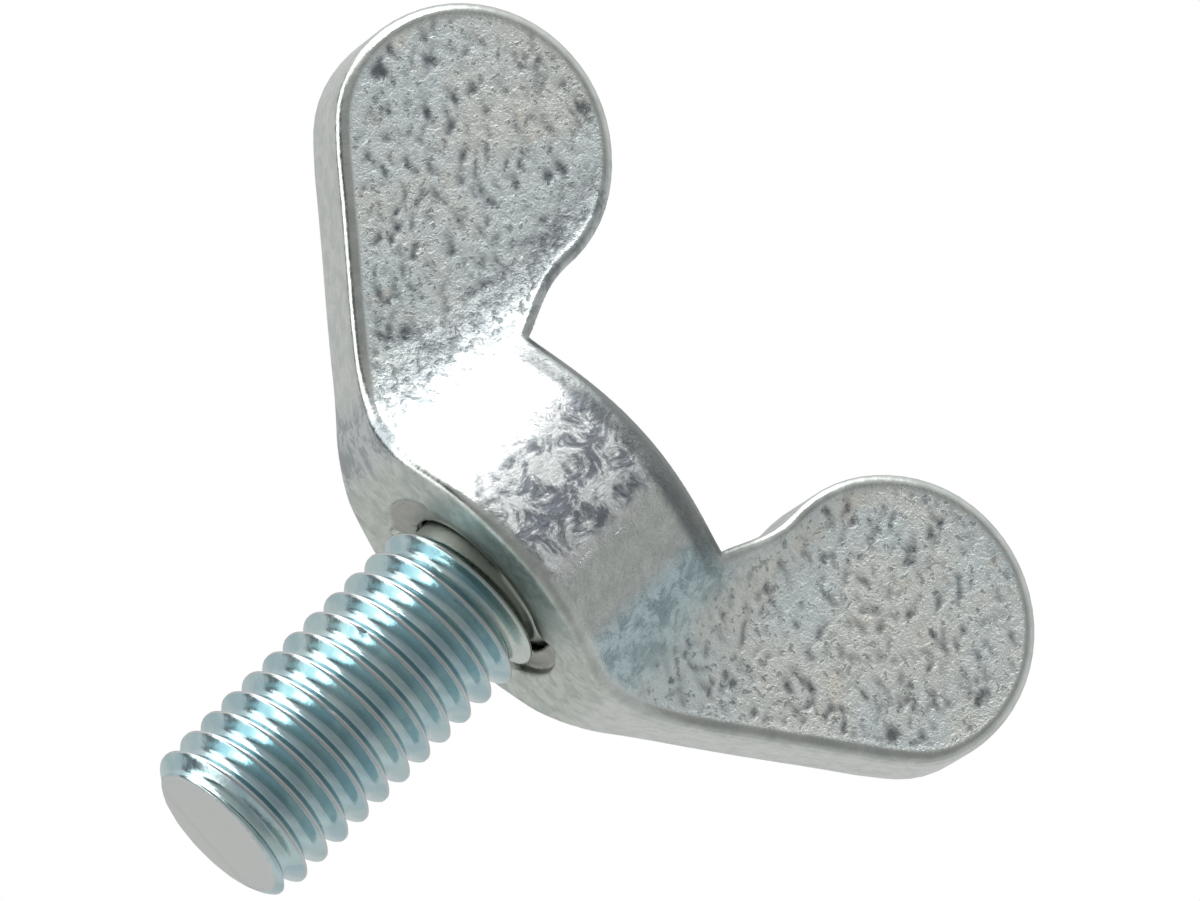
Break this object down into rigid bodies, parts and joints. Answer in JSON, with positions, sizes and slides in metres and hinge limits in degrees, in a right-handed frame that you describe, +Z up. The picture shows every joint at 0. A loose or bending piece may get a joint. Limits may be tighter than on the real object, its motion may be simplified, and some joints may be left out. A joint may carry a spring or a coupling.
{
  "type": "wing screw",
  "caption": "Wing screw for tightening by hand: a cast two-wing head on a short right-hand metric threaded stud, zinc plated.",
  "frame": {"origin": "centre of the seat, the flat ring under the head round the stud", "axes": "+Z up the screw's axis from the seat out of the head, the stud runs down -Z, +X along the wings, +Y across the wings"},
  "size_m": [0.0392, 0.0142, 0.0343],
  "materials": {
    "cast_zinc": "satin zinc plating over a pitted casting",
    "blue_zinc": "bright blue-passivated zinc over rolled thread"
  },
  "bodies": {
    "root": {"wing_head": "cast_zinc", "threaded_stud": "blue_zinc"}
  },
  "joints": []
}
